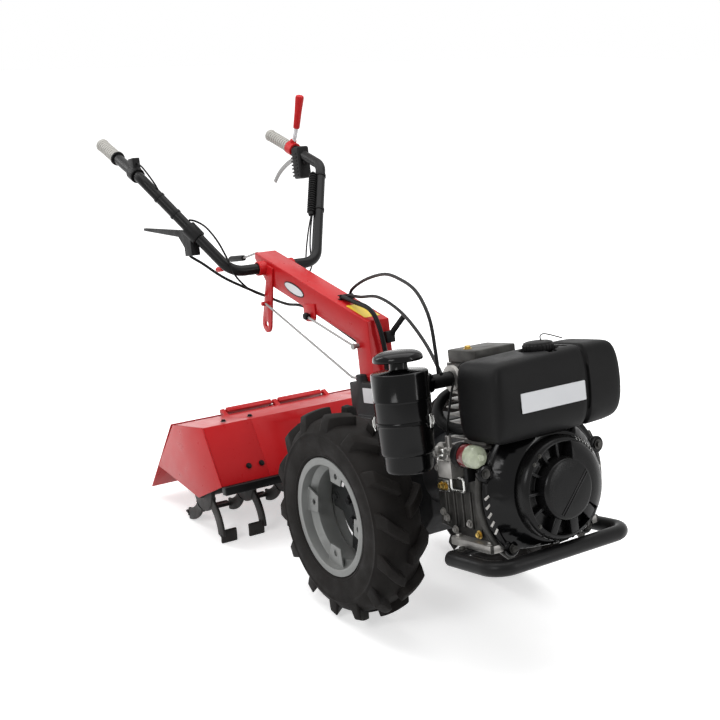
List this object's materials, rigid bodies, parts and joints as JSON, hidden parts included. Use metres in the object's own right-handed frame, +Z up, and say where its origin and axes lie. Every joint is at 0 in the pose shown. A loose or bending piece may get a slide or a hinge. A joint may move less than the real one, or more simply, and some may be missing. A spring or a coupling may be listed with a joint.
{
  "type": "walking tractor with rotary tiller",
  "caption": "Two-wheeled walking tractor with a diesel engine in front, a red steering column with handlebars and a hooded rotary tiller behind, parked on its tines.",
  "frame": {"origin": "on the floor, under the middle of the whole machine's box", "axes": "+X forwards towards the engine, +Y to the left, +Z up"},
  "size_m": [1.7502, 0.664, 1.1319],
  "materials": {
    "barrel_iron": "cast",
    "bright_steel": "bright",
    "case_aluminium": "cast",
    "cover_black": "gloss black",
    "disc_grey": "satin dark grey",
    "filter_plastic": "tinted",
    "gearbox_iron": "painted casting",
    "grip_grey": "matte",
    "hose_rubber": "matte",
    "hub_iron": "cast",
    "lever_pale": "satin",
    "lever_red": "satin",
    "muffler_steel": "heat-proof black",
    "paint_red": "gloss red",
    "rim_silver": "satin silver",
    "tank_black": "satin black",
    "tine_steel": "black",
    "trim_black": "matte black",
    "tube_black": "satin black",
    "tyre": "matte, moulded"
  },
  "bodies": {
    "chassis": {"gearbox": "gearbox_iron", "clutch_housing": "case_aluminium", "crankcase": "case_aluminium", "cylinder": "barrel_iron", "rocker_cover": "case_aluminium", "flywheel_shroud": "cover_black", "recoil_starter": "cover_black", "fuel_tank": "tank_black", "fuel_cap": "trim_black", "air_cleaner": "cover_black", "air_cleaner_bowl": "cover_black", "air_cleaner_cap": "cover_black", "intake_pipe": "hose_rubber", "muffler": "muffler_steel", "injection_pump": "bright_steel", "fuel_filter": "filter_plastic", "front_bumper": "tube_black", "column": "paint_red", "handlebar": "tube_black", "grip_right": "grip_grey", "grip_left": "grip_grey", "clutch_lever": "tube_black", "throttle_control": "trim_black", "brake_lever": "lever_pale", "stop_lever": "lever_red", "selector_arm": "paint_red", "shift_rods": "bright_steel", "shift_handles": "trim_black", "column_latch": "tube_black", "control_cables": "hose_rubber", "tiller_case": "gearbox_iron", "hood_front": "paint_red", "hood_top": "paint_red", "hood_side_right": "paint_red", "hood_side_left": "paint_red", "tiller_beam": "tube_black"},
    "wheel_right": {"tyre_right": "tyre", "rim_right": "rim_silver", "disc_right": "disc_grey", "hub_right": "hub_iron"},
    "wheel_left": {"tyre_left": "tyre", "rim_left": "rim_silver", "disc_left": "disc_grey", "hub_left": "hub_iron"},
    "flap": {"rear_flap": "paint_red"},
    "rotor": {"tine_rotor": "tine_steel"}
  },
  "joints": [
    {"name": "wheel_right_turn", "type": "hinge", "parent": "chassis", "child": "wheel_right", "pos_m": [0.35862, 0, 0.25], "axis": [0, 1, 0], "continuous": true},
    {"name": "wheel_left_turn", "type": "hinge", "parent": "chassis", "child": "wheel_left", "pos_m": [0.35862, 0, 0.25], "axis": [0, 1, 0], "continuous": true},
    {"name": "rotor_turn", "type": "hinge", "parent": "chassis", "child": "rotor", "pos_m": [-0.23717, 0, 0.1189], "axis": [0, 1, 0], "continuous": true},
    {"name": "flap_lift", "type": "hinge", "parent": "chassis", "child": "flap", "pos_m": [-0.37316, 0, 0.28162], "axis": [0, 1, 0], "range_deg": [0, 80]}
  ]
}
